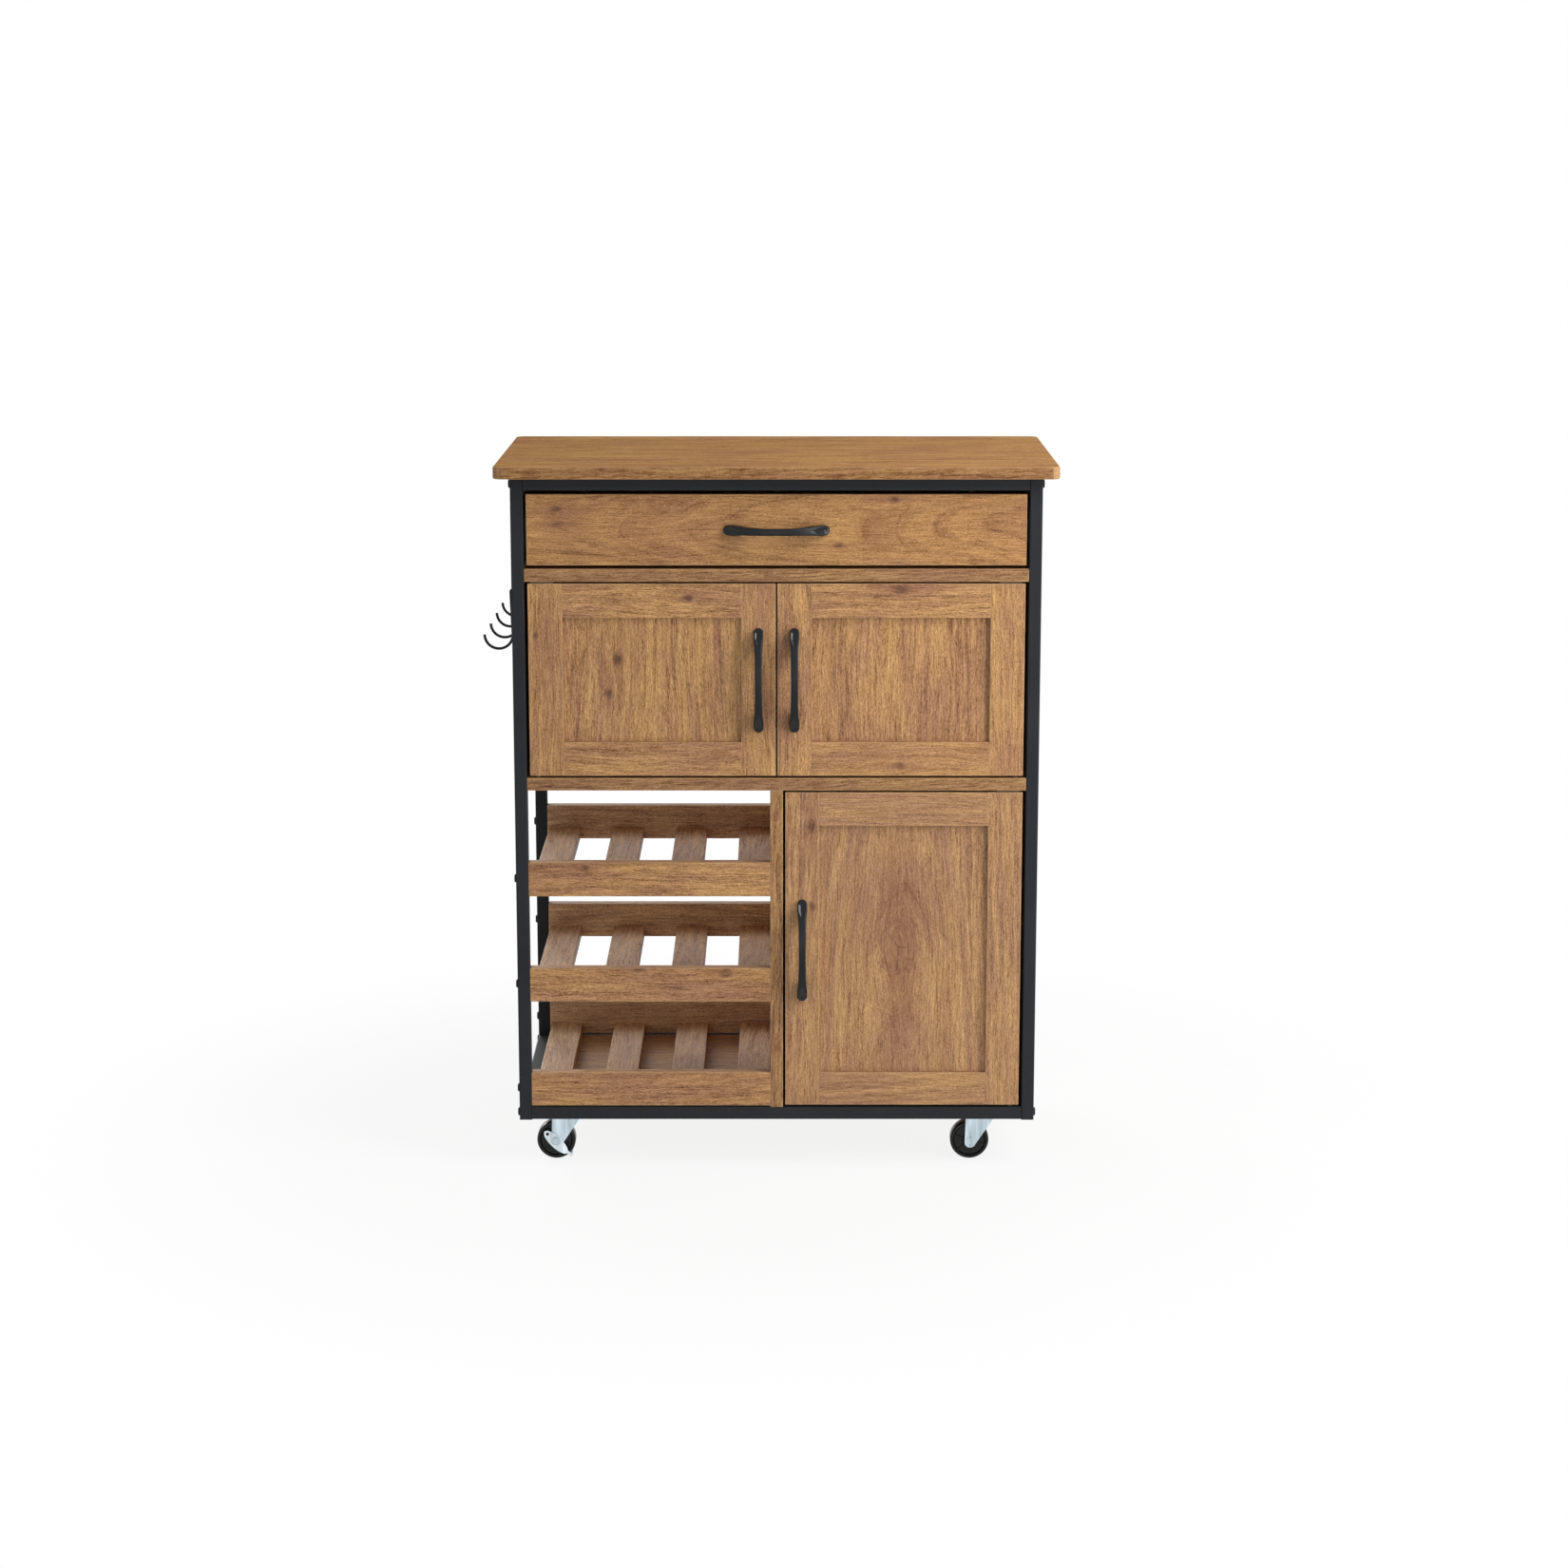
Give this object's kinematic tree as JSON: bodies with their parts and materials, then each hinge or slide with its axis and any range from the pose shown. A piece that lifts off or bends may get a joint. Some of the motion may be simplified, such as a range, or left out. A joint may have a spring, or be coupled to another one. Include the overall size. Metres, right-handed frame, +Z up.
{
  "type": "kitchen island cart",
  "caption": "Rolling kitchen island with a drawer, shaker-style doors, an open bottle rack and side hooks on a square-tube steel frame.",
  "frame": {"origin": "on the floor, under the middle of the whole object's box", "axes": "+Z up, -Y towards the front with the drawer and doors, +X to the right seen from the front"},
  "size_m": [0.7196, 0.408, 0.905],
  "materials": {
    "oak_board": "satin oak-look laminate on 16 mm board, light edges",
    "black_steel": "fine-textured black powder coat",
    "black_handle": "satin black on cast zinc",
    "black_plastic": "matt black moulded plastic",
    "wheel_plastic": "black moulded wheel, slightly glossy",
    "zinc_steel": "bright zinc plate"
  },
  "bodies": {
    "cart": {"back_bottom_rail": "black_steel", "back_top_rail": "black_steel", "bottom_board": "oak_board", "caster_plates": "zinc_steel", "caster_screws": "zinc_steel", "divider_panel": "oak_board", "door_catches": "black_plastic", "drawer_shelf": "oak_board", "frame_bolts": "black_steel", "front_bottom_rail": "black_steel", "front_top_rail": "black_steel", "hinge_pins": "zinc_steel", "hook_rail": "black_steel", "hooks": "black_steel", "left_side_frame": "black_steel", "left_side_panel": "oak_board", "leg_caps": "black_plastic", "lower_back_panel": "oak_board", "middle_shelf": "oak_board", "rack_back_boards": "oak_board", "rack_front_boards": "oak_board", "rack_slats": "oak_board", "right_side_frame": "black_steel", "right_side_panel": "oak_board", "slide_rails": "zinc_steel", "upper_back_panel": "oak_board", "wood_screws": "zinc_steel", "worktop": "oak_board"},
    "drawer": {"drawer_front": "oak_board", "drawer_left_side": "oak_board", "drawer_right_side": "oak_board", "drawer_back": "oak_board", "drawer_bottom": "oak_board", "drawer_handle": "black_handle", "slide_runners": "zinc_steel"},
    "slide_cages": {"slide_cages": "zinc_steel"},
    "upper_left_door": {"upper_left_door_frame": "oak_board", "upper_left_door_panel": "oak_board", "upper_left_door_fittings": "zinc_steel", "upper_left_door_handle": "black_handle"},
    "upper_right_door": {"upper_right_door_frame": "oak_board", "upper_right_door_panel": "oak_board", "upper_right_door_fittings": "zinc_steel", "upper_right_door_handle": "black_handle"},
    "lower_right_door": {"lower_right_door_frame": "oak_board", "lower_right_door_panel": "oak_board", "lower_right_door_fittings": "zinc_steel", "lower_right_door_handle": "black_handle"},
    "front_left_swivel": {"front_left_caster_fork": "zinc_steel"},
    "front_left_wheel": {"front_left_caster_wheel": "wheel_plastic"},
    "front_left_brake": {"front_left_brake_lever": "zinc_steel"},
    "front_right_swivel": {"front_right_caster_fork": "zinc_steel"},
    "front_right_wheel": {"front_right_caster_wheel": "wheel_plastic"},
    "back_left_swivel": {"back_left_caster_fork": "zinc_steel"},
    "back_left_wheel": {"back_left_caster_wheel": "wheel_plastic"},
    "back_left_brake": {"back_left_brake_lever": "zinc_steel"},
    "back_right_swivel": {"back_right_caster_fork": "zinc_steel"},
    "back_right_wheel": {"back_right_caster_wheel": "wheel_plastic"}
  },
  "joints": [
    {"name": "drawer_slide", "type": "slide", "parent": "cart", "child": "drawer", "axis": [0, -1, 0], "range_m": [0, 0.22]},
    {"name": "slide_cage_travel", "type": "slide", "parent": "cart", "child": "slide_cages", "axis": [0, -1, 0], "range_m": [0, 0.11]},
    {"name": "upper_left_door_hinge", "type": "hinge", "parent": "cart", "child": "upper_left_door", "pos_m": [-0.29023, -0.168, 0.6363], "axis": [0, 0, -1], "range_deg": [0, 110]},
    {"name": "upper_right_door_hinge", "type": "hinge", "parent": "cart", "child": "upper_right_door", "pos_m": [0.30978, -0.168, 0.6363], "axis": [0, 0, 1], "range_deg": [0, 110]},
    {"name": "lower_right_door_hinge", "type": "hinge", "parent": "cart", "child": "lower_right_door", "pos_m": [0.30978, -0.168, 0.28855], "axis": [0, 0, 1], "range_deg": [0, 110]},
    {"name": "front_left_caster_swivel", "type": "hinge", "parent": "cart", "child": "front_left_swivel", "pos_m": [-0.25822, -0.128, 0.0565], "axis": [0, 0, 1], "continuous": true},
    {"name": "front_left_wheel_spin", "type": "hinge", "parent": "front_left_swivel", "child": "front_left_wheel", "pos_m": [-0.27622, -0.128, 0.025], "axis": [0, 1, 0], "continuous": true},
    {"name": "front_left_brake_tilt", "type": "hinge", "parent": "front_left_swivel", "child": "front_left_brake", "pos_m": [-0.27622, -0.128, 0.025], "axis": [0, -1, 0], "range_deg": [0, 20]},
    {"name": "front_right_caster_swivel", "type": "hinge", "parent": "cart", "child": "front_right_swivel", "pos_m": [0.27777, -0.128, 0.0565], "axis": [0, 0, 1], "continuous": true},
    {"name": "front_right_wheel_spin", "type": "hinge", "parent": "front_right_swivel", "child": "front_right_wheel", "pos_m": [0.25977, -0.128, 0.025], "axis": [0, 1, 0], "continuous": true},
    {"name": "back_left_caster_swivel", "type": "hinge", "parent": "cart", "child": "back_left_swivel", "pos_m": [-0.25822, 0.136, 0.0565], "axis": [0, 0, 1], "continuous": true},
    {"name": "back_left_wheel_spin", "type": "hinge", "parent": "back_left_swivel", "child": "back_left_wheel", "pos_m": [-0.27622, 0.136, 0.025], "axis": [0, 1, 0], "continuous": true},
    {"name": "back_left_brake_tilt", "type": "hinge", "parent": "back_left_swivel", "child": "back_left_brake", "pos_m": [-0.27622, 0.136, 0.025], "axis": [0, -1, 0], "range_deg": [0, 20]},
    {"name": "back_right_caster_swivel", "type": "hinge", "parent": "cart", "child": "back_right_swivel", "pos_m": [0.27777, 0.136, 0.0565], "axis": [0, 0, 1], "continuous": true},
    {"name": "back_right_wheel_spin", "type": "hinge", "parent": "back_right_swivel", "child": "back_right_wheel", "pos_m": [0.25977, 0.136, 0.025], "axis": [0, 1, 0], "continuous": true}
  ],
  "couplings": [
    {"joint": "slide_cage_travel", "follows": "drawer_slide", "ratio": 0.5}
  ]
}
